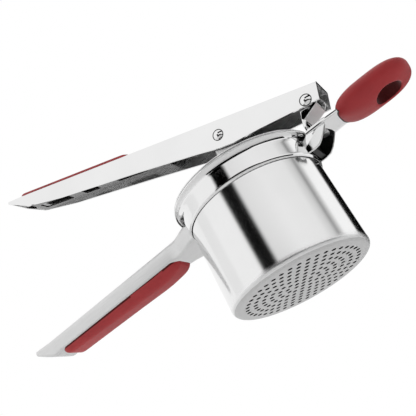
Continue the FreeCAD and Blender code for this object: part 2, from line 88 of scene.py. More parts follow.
class Shader:
    # one material: its nodes, its object coordinates and its Principled surface
    def __init__(self, name):
        self.material = bpy.data.materials.new(name)
        self.material.use_nodes = True
        self.tree = self.material.node_tree
        self.surface = self.tree.nodes["Principled BSDF"]
        self.place = self.node("ShaderNodeTexCoord", {}, {}, "Object")

    def node(self, kind, settings, sockets, output=0):
        made = self.tree.nodes.new(kind)
        for key, setting in settings.items():
            if key == "stops":
                setStops(made.color_ramp, setting)
            else:
                setattr(made, key, setting)
        for key, value in sockets.items():
            if isinstance(value, Value):
                self.tree.links.new(value.socket, made.inputs[key])
            else:
                made.inputs[key].default_value = value
        return Value(self, made.outputs[output])

    def fixed(self, **values):
        for key, value in values.items():
            self.surface.inputs[key.replace("_", " ")].default_value = value

    def varying(self, **values):
        for key, value in values.items():
            self.tree.links.new(value.socket, self.surface.inputs[key.replace("_", " ")])

    def stretched(self, scale, turn=(0, 0, 0)):
        sockets = {"Vector": self.place, "Scale": scale, "Rotation": turn}
        return self.node("ShaderNodeMapping", {}, sockets)

    def noise(self, where, scale, detail=3.0, roughness=0.5):
        sockets = {"Vector": where, "Scale": scale, "Detail": detail, "Roughness": roughness}
        return self.node("ShaderNodeTexNoise", {}, sockets, "Fac")

    def height(self):
        # the Z of the object coordinates
        return self.node("ShaderNodeSeparateXYZ", {}, {0: self.place}, "Z")

    def ramp(self, value, stops):
        return self.node("ShaderNodeValToRGB", {"stops": stops}, {"Fac": value}, "Color")

    def bump(self, height, strength, distance):
        sockets = {"Height": height, "Strength": strength, "Distance": distance}
        return self.node("ShaderNodeBump", {}, sockets, "Normal")

    def mix(self, factor, first, second):
        settings = {"data_type": "RGBA"}
        return self.node("ShaderNodeMix", settings, {0: factor, 6: first, 7: second}, 2)


def setStops(ramp, stops):
    while len(ramp.elements) < len(stops):
        ramp.elements.new(0.5)
    for element, (position, colour) in zip(ramp.elements, stops):
        element.position = position
        element.color = colour if len(colour) == 4 else (*colour, 1.0)


def grey(level, warmth=0.0):
    return (level * (1 + warmth), level, level * (1 - warmth), 1.0)


polishLook = {
    "light": 0.86, "dark": 0.80, "roughnessLow": 0.035, "roughnessHigh": 0.085,
    "smudgeScale": 22.0, "lineScale": 900.0, "lineStretch": (1.0, 14.0, 14.0),
    "bumpStrength": 0.05, "bumpDepth": 0.00004,
}


def polishedSteel(name, look):
    made = Shader(name)
    lines = made.noise(made.stretched(look["lineStretch"]), look["lineScale"], detail=2.0)
    smudge = made.noise(made.place, look["smudgeScale"], detail=4.0, roughness=0.6)
    tone = (smudge * 0.7 + lines * 0.3).clamped()
    made.varying(Base_Color=made.ramp(tone, [(0.3, grey(look["dark"])), (0.7, grey(look["light"]))]))
    spread = look["roughnessHigh"] - look["roughnessLow"]
    made.varying(Roughness=smudge * spread + look["roughnessLow"])
    made.varying(Normal=made.bump(lines, look["bumpStrength"], look["bumpDepth"]))
    made.fixed(Metallic=1.0)
    return made.material


satinLook = {
    "light": 0.75, "dark": 0.62, "metallic": 1.0, "roughness": 0.27, "roughnessSpread": 0.12,
    "grainScale": 260.0, "grainStretch": (0.35, 14.0, 14.0), "patchScale": 30.0,
    "bumpStrength": 0.16, "bumpDepth": 0.00006,
}


def satinSteel(name, look):
    made = Shader(name)
    grain = made.noise(made.stretched(look["grainStretch"]), look["grainScale"], detail=5.0,
                       roughness=0.65)
    patch = made.noise(made.place, look["patchScale"], detail=3.0)
    tone = (grain * 0.75 + patch * 0.25).clamped()
    made.varying(Base_Color=made.ramp(tone, [(0.32, grey(look["dark"])), (0.68, grey(look["light"]))]))
    made.varying(Roughness=grain * look["roughnessSpread"] + patch * 0.05 + look["roughness"])
    made.varying(Normal=made.bump(grain, look["bumpStrength"], look["bumpDepth"]))
    made.fixed(Metallic=look["metallic"])
    return made.material


innerLook = {
    "light": 0.76, "dark": 0.66, "metallic": 1.0, "roughness": 0.20, "roughnessSpread": 0.12,
    "grainScale": 120.0, "grainStretch": (0.4, 9.0, 9.0), "patchScale": 24.0,
    "bumpStrength": 0.10, "bumpDepth": 0.00005,
}

redLook = {
    "deep": (0.34, 0.014, 0.018), "body": (0.42, 0.021, 0.025), "worn": (0.48, 0.033, 0.036),
    "roughness": 0.46, "sheen": 0.14, "specular": 0.5, "grainScale": 2600.0, "patchScale": 38.0,
    "bumpStrength": 0.22, "bumpDepth": 0.00005,
}


def softRed(name, look):
    made = Shader(name)
    patch = made.noise(made.place, look["patchScale"], detail=4.0, roughness=0.55)
    grain = made.noise(made.place, look["grainScale"], detail=2.0)
    stops = [(0.25, look["deep"]), (0.5, look["body"]), (0.8, look["worn"])]
    made.varying(Base_Color=made.ramp((patch * 0.8 + grain * 0.2).clamped(), stops))
    made.varying(Roughness=patch * 0.12 + grain * 0.06 + look["roughness"])
    made.varying(Normal=made.bump(grain, look["bumpStrength"], look["bumpDepth"]))
    made.fixed(Specular_IOR_Level=look["specular"], Sheen_Weight=look["sheen"], Sheen_Roughness=0.35)
    return made.material


coreLook = {
    "low": 0.012, "high": 0.03, "roughness": 0.5, "grainScale": 900.0, "bumpStrength": 0.2,
    "bumpDepth": 0.00005,
}


def darkPlastic(name, look):
    made = Shader(name)
    grain = made.noise(made.place, look["grainScale"], detail=4.0)
    made.varying(Base_Color=made.ramp(grain, [(0.3, grey(look["low"])), (0.7, grey(look["high"]))]))
    made.varying(Roughness=grain * 0.15 + look["roughness"])
    made.varying(Normal=made.bump(grain, look["bumpStrength"], look["bumpDepth"]))
    return made.material


# Heights are in metres: below base is the flat base, and corner is where its corner ends.
wallLook = {
    **polishLook, "lineScale": 700.0, "roughnessLow": 0.09, "roughnessHigh": 0.15, "base": 0.0009,
    "corner": 0.0045, "cornerRoughness": 0.34, "lineStretch": (1.0, 1.0, 16.0), "baseGrain": 1900.0,
    "baseLight": 0.66, "baseDark": 0.55, "baseRoughness": 0.34,
}


def basketMaterial(name, look):
    # polished round the wall and matt on the flat base
    made = Shader(name)
    lines = made.noise(made.stretched(look["lineStretch"]), look["lineScale"], detail=2.0)
    smudge = made.noise(made.place, look["smudgeScale"], detail=4.0, roughness=0.6)
    grain = made.noise(made.place, look["baseGrain"], detail=3.0)
    onWall = made.height().maths("GREATER_THAN", made.height(), look["base"])
    tone = (smudge * 0.7 + lines * 0.3).clamped()
    polished = made.ramp(tone, [(0.3, grey(look["dark"])), (0.7, grey(look["light"]))])
    matt = made.ramp(grain, [(0.3, grey(look["baseDark"])), (0.7, grey(look["baseLight"]))])
    made.varying(Base_Color=made.mix(onWall, matt, polished))
    spread = look["roughnessHigh"] - look["roughnessLow"]
    # the polish fades into the matt base round the corner
    corner = ((look["corner"] - made.height()) / (look["corner"] - look["base"])).clamped()
    wallRoughness = smudge * spread + corner * look["cornerRoughness"] + look["roughnessLow"]
    baseRoughness = grain * 0.12 + look["baseRoughness"]
    made.varying(Roughness=onWall * wallRoughness + (1.0 - onWall) * baseRoughness)
    made.varying(Normal=made.bump(lines * onWall, look["bumpStrength"], look["bumpDepth"]))
    made.fixed(Metallic=1.0)
    return made.material


mirror = polishedSteel("mirrorSteel", polishLook)
basketSteel = basketMaterial("basketSteel", wallLook)
satin = satinSteel("satinHandleSteel", satinLook)
plateSteel = satinSteel("plateSteel", {**satinLook, "roughness": 0.22})
innerSteel = satinSteel("dullInnerSteel", innerLook)
red = softRed("softRedGrip", redLook)
dark = darkPlastic("darkCorePlastic", coreLook)
# nearly black steel as painted shade in holes, hollows and gaps between parts
paintedShadeSteel = satinSteel("paintedShadeSteel", {**innerLook, "light": 0.035, "dark": 0.02, "roughness": 0.3})
# pale, mostly diffuse steel as painted light where the steel would mirror dark surroundings
paintedLightSteel = satinSteel("paintedLightSteel", {**satinLook, "light": 0.92, "dark": 0.84, "roughness": 0.5,
                                         "metallic": 0.25})
# very dark red as painted shade in the knob's hole and the crevice along the lower grip
paintedShadeRed = softRed("paintedShadeRed", {**redLook, "deep": (0.06, 0.006, 0.006), "body": (0.09, 0.010, 0.010),
                                  "worn": (0.12, 0.014, 0.014), "sheen": 0.0, "specular": 0.12})
# darkened steel for the grip carrier: painted shade under the lever
paintedShadePlate = satinSteel("paintedShadePlateSteel", {**satinLook, "light": 0.30, "dark": 0.24, "roughness": 0.3})
print("materials made:", len(bpy.data.materials))


def closedRing(bm, points):
    # a closed loop of edges through points
    verts = [bm.verts.new(p) for p in points]
    edges = [bm.edges.new((verts[i], verts[(i + 1) % len(verts)])) for i in range(len(verts))]
    return verts, edges


def openLine(bm, points):
    verts = [bm.verts.new(p) for p in points]
    edges = [bm.edges.new(pair) for pair in zip(verts, verts[1:])]
    return verts, edges


def arc(centre, radius, start, end, steps):
    # points of an arc in a flat outline, angles in degrees
    turns = [math.radians(start + (end - start) * i / steps) for i in range(steps + 1)]
    return [(centre[0] + radius * math.cos(t), centre[1] + radius * math.sin(t)) for t in turns]


def turnOutline(bm, outline, steps, closed):
    # spins an outline of (radius, height) once round the Z axis
    points = [(r, 0, z) for r, z in outline]
    verts, edges = closedRing(bm, points) if closed else openLine(bm, points)
    bmesh.ops.spin(bm, geom=verts + edges, cent=(0, 0, 0), axis=(0, 0, 1), angle=math.tau,
                   steps=steps, use_merge=True)
    bmesh.ops.remove_doubles(bm, verts=bm.verts, dist=0.0005)


def facesOut(bm):
    bmesh.ops.remove_doubles(bm, verts=bm.verts, dist=0.0005)
    bmesh.ops.recalc_face_normals(bm, faces=bm.faces)


def chamfer(bm, edges, width, segments=2):
    bmesh.ops.bevel(bm, geom=edges, offset=width, offset_type="OFFSET", affect="EDGES",
                    segments=segments, profile=0.5, material=-1, clamp_overlap=True)


def sharpEdges(bm, degrees):
    return [e for e in bm.edges if len(e.link_faces) == 2 and e.calc_face_angle() > math.radians(degrees)]


def finishPiece(name, bm, body, material, nodeNames, place=atRest, smoothAngle=32):
    # the mesh in metres, where it belongs, on its body
    bmesh.ops.transform(bm, verts=bm.verts, matrix=Matrix.Scale(mm, 4) @ place)
    for face in bm.faces:
        face.smooth = True
    for edge in bm.edges:
        edge.smooth = len(edge.link_faces) == 2 and edge.calc_face_angle(0) < math.radians(smoothAngle)
    mesh = bpy.data.meshes.new(name)
    bm.to_mesh(mesh)
    bm.free()
    piece = bpy.data.objects.new(name, mesh)
    bpy.context.scene.collection.objects.link(piece)
    mesh.materials.append(material)
    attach(piece, body)
    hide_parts(*nodeNames)
    return piece


basket = {
    "radius": 39.9, "wall": 0.8, "top": 65.5, "corner": 3.0, "flange": 44.4, "lip": 0.4,
    "holeRadius": 1.27, "holePitch": 4.59, "rings": 7, "around": 180, "holeSteps": 16,
    "shadedTo": 22.0, "shadedFrom": 0.2, "wallSkin": 0.3, "neckRound": 0.8, "mouthRound": 1.4,
}


def basketHoles(s):
    # a centre hole, and rings of six more holes each than the ring inside it
    yield 0.0, 0.0
    for ring in range(1, s["rings"] + 1):
        for n in range(6 * ring):
            turn = math.tau * n / (6 * ring)
            yield ring * s["holePitch"] * math.cos(turn), ring * s["holePitch"] * math.sin(turn)


def makeBasket(s):
    flat = s["radius"] - s["corner"]
    inside = s["radius"] - s["wall"]
    bm = bmesh.new()
    rims = bmesh.ops.create_circle(bm, segments=s["around"], radius=flat)["verts"]
    for x, y in basketHoles(s):
        bmesh.ops.create_circle(bm, segments=s["holeSteps"], radius=s["holeRadius"],
                                matrix=Matrix.Translation((x, y, 0)))
    filled = bmesh.ops.triangle_fill(bm, use_beauty=True, use_dissolve=False, edges=bm.edges[:])
    faces = [g for g in filled["geom"] if isinstance(g, bmesh.types.BMFace)]
    made = bmesh.ops.extrude_face_region(bm, geom=faces, use_keep_orig=True)
    raised = [g for g in made["geom"] if isinstance(g, bmesh.types.BMVert)]
    bmesh.ops.translate(bm, verts=raised, vec=(0, 0, s["wall"]))
    rim = [f for f in bm.faces if all(math.hypot(v.co.x, v.co.y) > flat - 0.01 for v in f.verts)]
    bmesh.ops.delete(bm, geom=rim, context="FACES_ONLY")
    top = s["top"]
    lipAt = s["flange"] - s["lip"]
    outline = arc((flat, s["corner"]), s["corner"], -90, 0, 10)
    neck, mouth = s["neckRound"], s["mouthRound"]
    outline += arc((s["radius"] + neck, top - 2 * neck), neck, 180, 90, 5)
    outline += arc((lipAt, top - s["lip"]), s["lip"], -90, 90, 8)
    outline += arc((inside + mouth, top - mouth), mouth, 90, 180, 6)
    outline += [(inside, s["shadedTo"])]
    outline += arc((flat, s["corner"]), s["corner"] - s["wall"], 0, -90, 8)
    turnOutline(bm, outline, s["around"], closed=False)
    facesOut(bm)
    # faces inside the basket take painted shade
    for face in bm.faces:
        face.material_index = int(insideBasket(face, s))
    piece = finishPiece("basketCup", bm, "basket", basketSteel, ["basket"])
    piece.data.materials.append(paintedShadeSteel)
    return piece


def insideBasket(face, s):
    # the holes' walls, the upper side of the base and the inner wall below the pressing disc, which take
    # painted shade
    middle = face.calc_center_median()
    reach = math.hypot(middle.x, middle.y)
    flat = s["radius"] - s["corner"]
    if reach > flat and middle.z < s["corner"]:
        return math.hypot(reach - flat, middle.z - s["corner"]) < s["corner"] - s["wall"] / 2
    return s["shadedFrom"] < middle.z < s["shadedTo"] and reach < s["radius"] - s["wallSkin"]


makeBasket(basket)
print("basket made")


collar = {
    "inside": 40.35, "sheet": 0.9, "bottom": 50.6, "top": 64.4, "rim": 44.7, "flareStart": 59.9,
    "flareRadius": 6.0, "flareTurn": 36.0, "lipRadius": 2.1, "lipTurn": 78.0, "roll": 0.55,
    "lowRadius": 4.2, "lowTurn": 38.0, "lowRise": 2.6, "around": 180,
}


def outwardArc(start, radius, fromTurn, toTurn, steps):
    # points from start that lean outward, each turn an angle from the vertical
    first = math.radians(fromTurn)
    centre = (start[0] + radius * math.cos(first), start[1] - radius * math.sin(first))
    return arc(centre, radius, 180 - fromTurn, 180 - toTurn, steps)


def makeCollar(s):
    outside = s["inside"] + s["sheet"]
    bm = bmesh.new()
    # up the outside: rounded-in lower edge, straight band, concave flare, rolled rim
    low = arc((outside - s["lowRadius"], s["bottom"] + s["lowRise"]), s["lowRadius"], -s["lowTurn"], 0, 8)
    outline = [(s["inside"] + 0.12, s["bottom"] + 0.02)] + low
    flare = outwardArc((outside, s["flareStart"]), s["flareRadius"], 0, s["flareTurn"], 10)
    lip = outwardArc(flare[-1], s["lipRadius"], s["flareTurn"], s["lipTurn"], 7)
    outline += flare + lip[1:]
    rollAt = (s["rim"] - s["roll"], s["top"] - s["roll"])
    outline += arc(rollAt, s["roll"], -60, 100, 9)
    outline += [(s["rim"] - 1.6, s["top"] - 0.25), (s["rim"] - 2.6, s["top"] - 1.3)]
    outline += [(s["inside"] + 0.4, s["flareStart"] + 2.2), (s["inside"], s["flareStart"])]
    outline += [(s["inside"], s["bottom"] + 0.3)]
    turnOutline(bm, outline, s["around"], closed=True)
    facesOut(bm)
    return finishPiece("collarRing", bm, "frame", mirror, ["collar_ring"])


makeCollar(collar)
print("collar made")


handle = {
    "root": -40.0, "tip": -178.4, "half": 9.0, "rootHalf": 16.0, "neckEnd": -58.0,
    "topAtRoot": 62.5, "topAtTip": 58.4, "lowAtRoot": 49.9, "lowAtTip": 46.2, "round": 4.6,
    "tipCut": 15.5, "tipThick": 3.6, "tipNarrow": 1.1, "lowRound": 2.2, "seatDepth": 0.5,
    "bendRadius": 41.0, "bendLength": 8.0,
    "gripStart": -157.0, "gripEnd": -56.2, "gripLow": 43.4, "stations": 44,
    "gripStations": 64, "gripInset": 0.35, "gripRound": 5.6, "tipRise": 7.0, "rootRise": 24.0,
    "tipSpread": 5.0, "rootSpread": 7.0, "paintedShadeLine": 0.25,
}


def between(a, b, t):
    return a + (b - a) * t


def smooth(t):
    t = min(1.0, max(0.0, t))
    return t * t * (3 - 2 * t)


def roundedBar(half, low, high, cornerHigh, cornerLow, steps=6):
    # a closed cross-section in (y, z), from the middle of its underside round
    points = [(0.0, low)]
    points += arc((half - cornerLow, low + cornerLow), cornerLow, -90, 0, steps)
    points += arc((half - cornerHigh, high - cornerHigh), cornerHigh, 0, 90, steps)
    points += [(0.0, high)]
    points += arc((-half + cornerHigh, high - cornerHigh), cornerHigh, 90, 180, steps)
    points += arc((-half + cornerLow, low + cornerLow), cornerLow, 180, 270, steps)
    return points


def loft(bm, sections, capStart=True, capEnd=True):
    # closed sections of equal length joined one after another
    loops = [closedRing(bm, points) for points in sections]
    for (_, first), (_, second) in zip(loops, loops[1:]):
        bmesh.ops.bridge_loops(bm, edges=first + second)
    if capStart:
        bm.faces.new(loops[0][0])
    if capEnd:
        bm.faces.new(loops[-1][0])


def handleHeights(s, x):
    t = (x - s["root"]) / (s["tip"] - s["root"])
    return between(s["lowAtRoot"], s["lowAtTip"], t), between(s["topAtRoot"], s["topAtTip"], t)


def makeLowerHandle(s):
    bm = bmesh.new()
    sections = []
    length = s["tip"] - s["root"]
    for i in range(s["stations"] + 1):
        x = s["root"] + length * i / s["stations"]
        low, high = handleHeights(s, x)
        neck = 1 - smooth((s["root"] - x) / (s["root"] - s["neckEnd"]))
        half = s["half"] + (s["rootHalf"] - s["half"]) * neck ** 1.6
        undercut = max(0.0, (s["tip"] + s["tipCut"] - x) / s["tipCut"])
        low += (high - low - s["tipThick"]) * undercut ** 1.15
        half -= s["tipNarrow"] * undercut ** 3
        gripped = s["gripStart"] < x < s["gripEnd"]
        low += s["seatDepth"] if gripped else 0.0
        corner = min(s["round"], (high - low) * 0.45)
        bar = roundedBar(half, low, high, corner, min(s["lowRound"], corner))
        sections.append([(rootEdge(x, y, s), y, z) for y, z in bar])
    loft(bm, sections)
    facesOut(bm)
    return finishPiece("lowerHandle", bm, "frame", satin, ["lower_handle"], smoothAngle=40)


def rootEdge(x, y, s):
    # the root's sections bend to the collar's round side
    bend = math.sqrt(max(0.0, s["bendRadius"] ** 2 - y * y)) - s["bendRadius"]
    fade = max(0.0, 1 - (s["root"] - x) / s["bendLength"])
    return x - bend * fade


makeLowerHandle(handle)


def makeLowerGrip(s):
    bm = bmesh.new()
    sections = []
    count = s["gripStations"]
    length = s["gripEnd"] - s["gripStart"]
    for i in range(count + 1):
        x = s["gripStart"] + length * (0.5 - 0.5 * math.cos(math.pi * i / count))
        fromTip, fromRoot = x - s["gripStart"], s["gripEnd"] - x
        low, high = handleHeights(s, x)
        # short round end near the tip, long taper near the collar
        close = roundEnd(fromTip / s["tipRise"]) * roundEnd(fromRoot / s["rootRise"]) ** 0.8
        bottom = between(low + 0.6, s["gripLow"] + 0.2, close)
        spread = roundEnd(fromTip / s["tipSpread"]) * roundEnd(fromRoot / s["rootSpread"])
        half = (s["half"] - s["gripInset"]) * between(0.55, 1.0, spread)
        lowCorner = max(0.3, min(s["gripRound"], low + 0.9 - bottom, half * 0.9))
        bar = roundedBar(half, bottom, low + 1.3, 0.2, lowCorner, steps=9)
        sections.append([(x, y, z) for y, z in bar])
    loft(bm, sections)
    facesOut(bm)
    # the grip's faces along its top, against the bar, take painted shade
    for face in bm.faces:
        middle = face.calc_center_median()
        face.material_index = int(middle.z > handleHeights(s, middle.x)[0] + s["paintedShadeLine"])
    piece = finishPiece("lowerHandleGrip", bm, "frame", red, ["lower_handle_grip"],
                        smoothAngle=50)
    piece.data.materials.append(paintedShadeRed)
    piece.visible_glossy = False
    return piece


def roundEnd(t):
    # a quarter circle's rise from 0 to 1
    return math.sqrt(max(0.0, 1 - (1 - min(1.0, max(0.0, t))) ** 2))


makeLowerGrip(handle)
print("lower handle made")


lever = {
    "half": 9.2, "sheet": 1.2, "back": 8.5, "round": 1.0,
    # lower edge, from the hinge end to the tip
    "lowEdge": [(7.4, -1.9), (-4, -3.6), (-28, -6.4), (-46, -9.0), (-54.4, -9.2), (-68, -8.0), (-112, -5.8),
                (-180, -3.3), (-211, -0.5), (-229.9, 5.7)],
    "droopFrom": -218.0, "droop": 0.05, "rolled": 0.22,
    "gripStart": -219.0, "gripEnd": -120.0, "gripRise": 1.9, "gripStations": 36, "gripCorner": 6.0,
    "endHalf": 5.5, "endRise": 0.25,
}


def channelSection(x, low, high, s):
    # an open U in (y, z), from one lower edge over the back to the other
    half = s["half"]
    corner = min(s["round"], (high - low) * 0.4)
    right = arc((half - corner, high - corner), corner, 0, 90, 4)
    points = [(half, low)] + right
    points += [(-y, z) for y, z in reversed(points)]
    return [(x, y, z) for y, z in points]


def makeLever(s):
    bm = bmesh.new()
    lines = []
    for x, low in s["lowEdge"]:
        droop = s["droop"] * max(0.0, s["droopFrom"] - x)
        lines.append(openLine(bm, channelSection(x, low, s["back"] - droop, s)))
    for (_, first), (_, second) in zip(lines, lines[1:]):
        bmesh.ops.bridge_loops(bm, edges=first + second)
    bm.faces.new(lines[-1][0])
    bmesh.ops.recalc_face_normals(bm, faces=bm.faces)
    piece = finishPiece("leverChannel", bm, "lever", mirror, ["lever_channel"], placeLever)
    wall = piece.modifiers.new("sheetThickness", "SOLIDIFY")
    wall.thickness = s["sheet"] * mm
    wall.offset = -1.0
    wall.use_even_offset = True
    wall.material_offset = 1
    piece.data.materials.append(innerSteel)
    edges = piece.modifiers.new("rolledEdges", "BEVEL")
    edges.width = s["rolled"] * mm
    edges.segments = 2
    edges.limit_method = "ANGLE"
    edges.angle_limit = math.radians(50)
    return piece


makeLever(lever)


def makeLeverGrip(s):
    bm = bmesh.new()
    sections = []
    count = s["gripStations"]
    length = s["gripEnd"] - s["gripStart"]
    for i in range(count + 1):
        t = i / count
        x = s["gripStart"] + length * (0.5 - 0.5 * math.cos(math.pi * t))
        edge = min(x - s["gripStart"], s["gripEnd"] - x)
        close = roundEnd(edge / s["gripCorner"])
        half = between(s["endHalf"], s["half"] - 0.15, close)
        rise = between(s["endRise"], s["gripRise"], close)
        sections.append([(x, y, z) for y, z in crownedStrip(half, s["back"] - 0.3, s["back"] + rise)])
    loft(bm, sections)
    facesOut(bm)
    return finishPiece("leverGrip", bm, "lever", red, ["lever_grip"], placeLever, smoothAngle=50)


def crownedStrip(half, low, high):
    # flat underside, low sides and a crowned top in (y, z)
    points = [(-half, low), (half, low)]
    side = low + 0.55 * (high - low)
    for i in range(13):
        y = half * math.cos(math.pi * i / 12)
        lift = math.sqrt(max(0.0, 1 - (y / half) ** 4))
        points.append((y, side + (high - side) * lift))
    return points


makeLeverGrip(lever)

carrier = {
    "from": -208.0, "to": -98.0, "half": 7.95, "z": -0.5, "sheet": 1.0, "corner": 1.4, "slotHalf": 3.9,
    "slots": [(-204.0, -178.0), (-167.0, -154.0), (-138.0, -114.0)],
}


def roundedSlot(low, high, half, corner):
    points = []
    for x, y, start in ((high - corner, half - corner, 0), (low + corner, half - corner, 90),
                        (low + corner, corner - half, 180), (high - corner, corner - half, 270)):
        points += arc((x, y), corner, start, start + 90, 5)
    return points


def makeCarrier(s):
    bm = bmesh.new()
    rim = [(s["from"], -s["half"]), (s["to"], -s["half"]), (s["to"], s["half"]), (s["from"], s["half"])]
    closedRing(bm, [(x, y, s["z"] - s["sheet"] / 2) for x, y in rim])
    for low, high in s["slots"]:
        slot = roundedSlot(low, high, s["slotHalf"], s["corner"])
        closedRing(bm, [(x, y, s["z"] - s["sheet"] / 2) for x, y in slot])
    filled = bmesh.ops.triangle_fill(bm, use_beauty=True, use_dissolve=False, edges=bm.edges[:])
    faces = [g for g in filled["geom"] if isinstance(g, bmesh.types.BMFace)]
    made = bmesh.ops.extrude_face_region(bm, geom=faces, use_keep_orig=True)
    moved = [g for g in made["geom"] if isinstance(g, bmesh.types.BMVert)]
    bmesh.ops.translate(bm, verts=moved, vec=(0, 0, s["sheet"]))
    facesOut(bm)
    return finishPiece("gripCarrier", bm, "lever", paintedShadePlate, ["grip_carrier"], placeLever)


makeCarrier(carrier)
print("lever made")


rivet = {"radius": 2.0, "head": 3.2, "dome": 1.5, "around": 48, "seat": 0.3, "seatRise": 0.14}


def makeDomedRivet(name, nodeName, x, z, s):
    bm = bmesh.new()
    ball = (s["head"] ** 2 + s["dome"] ** 2) / (2 * s["dome"])
    rise = math.degrees(math.asin((ball - s["dome"]) / ball))
    outline = [(0.0, 0.0), (s["radius"], 0.0), (s["radius"], lever["half"]), (s["head"], lever["half"])]
    cap = arc((0.0, lever["half"] - ball + s["dome"]), ball, rise, 90, 10)
    outline += [(max(0.0, r), h) for r, h in cap[1:]]
    turnOutline(bm, outline, s["around"], closed=False)
    polished = set(bm.faces)
    # a ring of painted shade round the head where it is pressed into the lever's wall
    inner, outer = s["head"] - s["seat"], s["head"] + s["seat"]
    face, top = lever["half"], lever["half"] + s["seatRise"]
    turnOutline(bm, [(inner, face), (outer, face), (outer, top), (inner, top)], s["around"], closed=True)
    for made in bm.faces:
        made.material_index = int(made not in polished)
    bmesh.ops.rotate(bm, verts=bm.verts, cent=(0, 0, 0), matrix=Matrix.Rotation(math.radians(90), 3, "X"))
    bmesh.ops.mirror(bm, geom=bm.verts[:] + bm.edges[:] + bm.faces[:], axis="Y", merge_dist=0.001)
    facesOut(bm)
    bmesh.ops.translate(bm, verts=bm.verts, vec=(x, 0, z))
    piece = finishPiece(name, bm, "lever", mirror, [nodeName], placeLever)
    piece.data.materials.append(paintedShadeSteel)
    return piece


makeDomedRivet("pivotRivet", "pivot_rivet", 0.0, 0.0, rivet)
makeDomedRivet("plungerRivet", "plunger_rivet", -54.4, -1.1, rivet)

knob = {
    "x": 83.4, "z": 63.0, "long": 21.1, "wide": 13.8, "thick": 7.75, "plan": 3.2, "side": 2.08,
    "holeX": 89.0, "hole": 7.4, "rim": 1.1, "around": 144, "steps": 26,
}


def knobReach(s, x, y):
    # how far out towards the knob's plan outline a point is: 1 on the outline
    across = abs(y / s["wide"]) ** s["plan"]
    return (abs((x - s["x"]) / s["long"]) ** s["plan"] + across) ** (1 / s["plan"])


def knobHeight(s, x, y):
    return s["thick"] * max(0.0, 1 - knobReach(s, x, y) ** s["side"]) ** (1 / s["side"])


def knobEdge(s, turn):
    # distance from the hole's centre to the outline, found by halving
    near, far = 0.0, 3 * s["long"]
    for _ in range(40):
        half = (near + far) / 2
        inside = knobReach(s, s["holeX"] + half * math.cos(turn), half * math.sin(turn)) < 1
        near, far = (half, far) if inside else (near, half)
    return near


def knobProfile(s, turn):
    # (distance from the hole's axis, height) from the hole's wall out over the top to the outline
    dx, dy = math.cos(turn), math.sin(turn)
    start = s["hole"] + s["rim"]
    edge = knobEdge(s, turn)
    crown = knobHeight(s, s["holeX"] + start * dx, start * dy)
    profile = [(s["hole"], (crown - s["rim"]) * i / 3) for i in range(3)]
    profile += arc((start, crown - s["rim"]), s["rim"], 180, 90, 6)
    for i in range(1, s["steps"] + 1):
        r = start + (edge - start) * math.sin(math.pi / 2 * i / s["steps"])
        profile.append((r, knobHeight(s, s["holeX"] + r * dx, r * dy)))
    return profile


def makeKnob(s):
    bm = bmesh.new()
    turns = [math.tau * i / s["around"] for i in range(s["around"])]
    upper = [knobProfile(s, turn) for turn in turns]
    whole = [top + [(r, -h) for r, h in top[-2:0:-1]] for top in upper]
    rings = []
    for k in range(len(whole[0])):
        ring = []
        for turn, profile in zip(turns, whole):
            r, h = profile[k]
            ring.append(bm.verts.new((s["holeX"] + r * math.cos(turn), r * math.sin(turn), s["z"] + h)))
        rings.append(ring)
    for k, ring in enumerate(rings):
        other = rings[(k + 1) % len(rings)]
        for i in range(len(ring)):
            j = (i + 1) % len(ring)
            bm.faces.new((ring[i], ring[j], other[j], other[i]))
    facesOut(bm)
    # the hole's wall takes painted shade
    for face in bm.faces:
        middle = face.calc_center_median()
        face.material_index = int(math.hypot(middle.x - s["holeX"], middle.y) < s["hole"] + 0.12)
    piece = finishPiece("potRestKnob", bm, "frame", red, ["pot_rest_grip"], smoothAngle=60)
    piece.data.materials.append(paintedShadeRed)
    piece.visible_glossy = False
    return piece


makeKnob(knob)
print("knob made")

# The clevis is one folded sheet: a foot on the arm, a riser past the rim, and a web with two ears.
clevis = {
    "half": 7.1, "sheet": 1.6, "pinX": 54.0, "pinZ": 78.6, "earRadius": 6.0, "edge": 0.3, "fold": 0.45,
    "strip": [(44.9, 63.65), (44.9, 67.8), (46.2, 71.8), (47.2, 72.6), (57.0, 76.0), (57.6, 74.4),
              (47.6, 70.9), (46.5, 67.4), (46.5, 65.2), (56.4, 65.2), (56.4, 63.65)],
    "ear": [(46.2, 71.8), (47.4, 70.8), (57.6, 74.4), (59.6, 76.6)],
}


def plate(bm, outline, near, far):
    # a flat XZ outline made a solid between two values of Y
    verts = [bm.verts.new((x, near, z)) for x, z in outline]
    made = bmesh.ops.extrude_face_region(bm, geom=[bm.faces.new(verts)])
    moved = [g for g in made["geom"] if isinstance(g, bmesh.types.BMVert)]
    bmesh.ops.translate(bm, verts=moved, vec=(0, far - near, 0))


def raisedPlan(bm, outline, low, high):
    # a flat XY outline made a solid between two heights
    base = bm.faces.new([bm.verts.new((x, y, low)) for x, y in outline])
    made = bmesh.ops.extrude_face_region(bm, geom=[base])
    moved = [g for g in made["geom"] if isinstance(g, bmesh.types.BMVert)]
    bmesh.ops.translate(bm, verts=moved, vec=(0, 0, high - low))


def alongY(edge):
    run = edge.verts[1].co - edge.verts[0].co
    return abs(run.y) > 0.99 * run.length


def makeClevis(s):
    bm = bmesh.new()
    plate(bm, s["strip"], -s["half"], s["half"])
    facesOut(bm)
    folds = [e for e in sharpEdges(bm, 12) if alongY(e)]
    chamfer(bm, folds, s["fold"], 3)
    pin = (s["pinX"], s["pinZ"])
    ear = s["ear"] + arc(pin, s["earRadius"], -15, 195, 18)
    for side in (-1, 1):
        plate(bm, ear, side * (s["half"] - s["sheet"]), side * s["half"])
    facesOut(bm)
    chamfer(bm, [e for e in sharpEdges(bm, 60) if not alongY(e)], s["edge"], 3)
    # the web's underside has a paler, softer, less metallic steel than the rest: painted light
    for face in bm.faces:
        face.material_index = int(face.normal.z < -0.8 and face.calc_center_median().z > 70)
    piece = finishPiece("hingeClevis", bm, "frame", mirror, ["hinge_bracket"],
                        smoothAngle=35)
    piece.data.materials.append(paintedLightSteel)
    return piece


makeClevis(clevis)

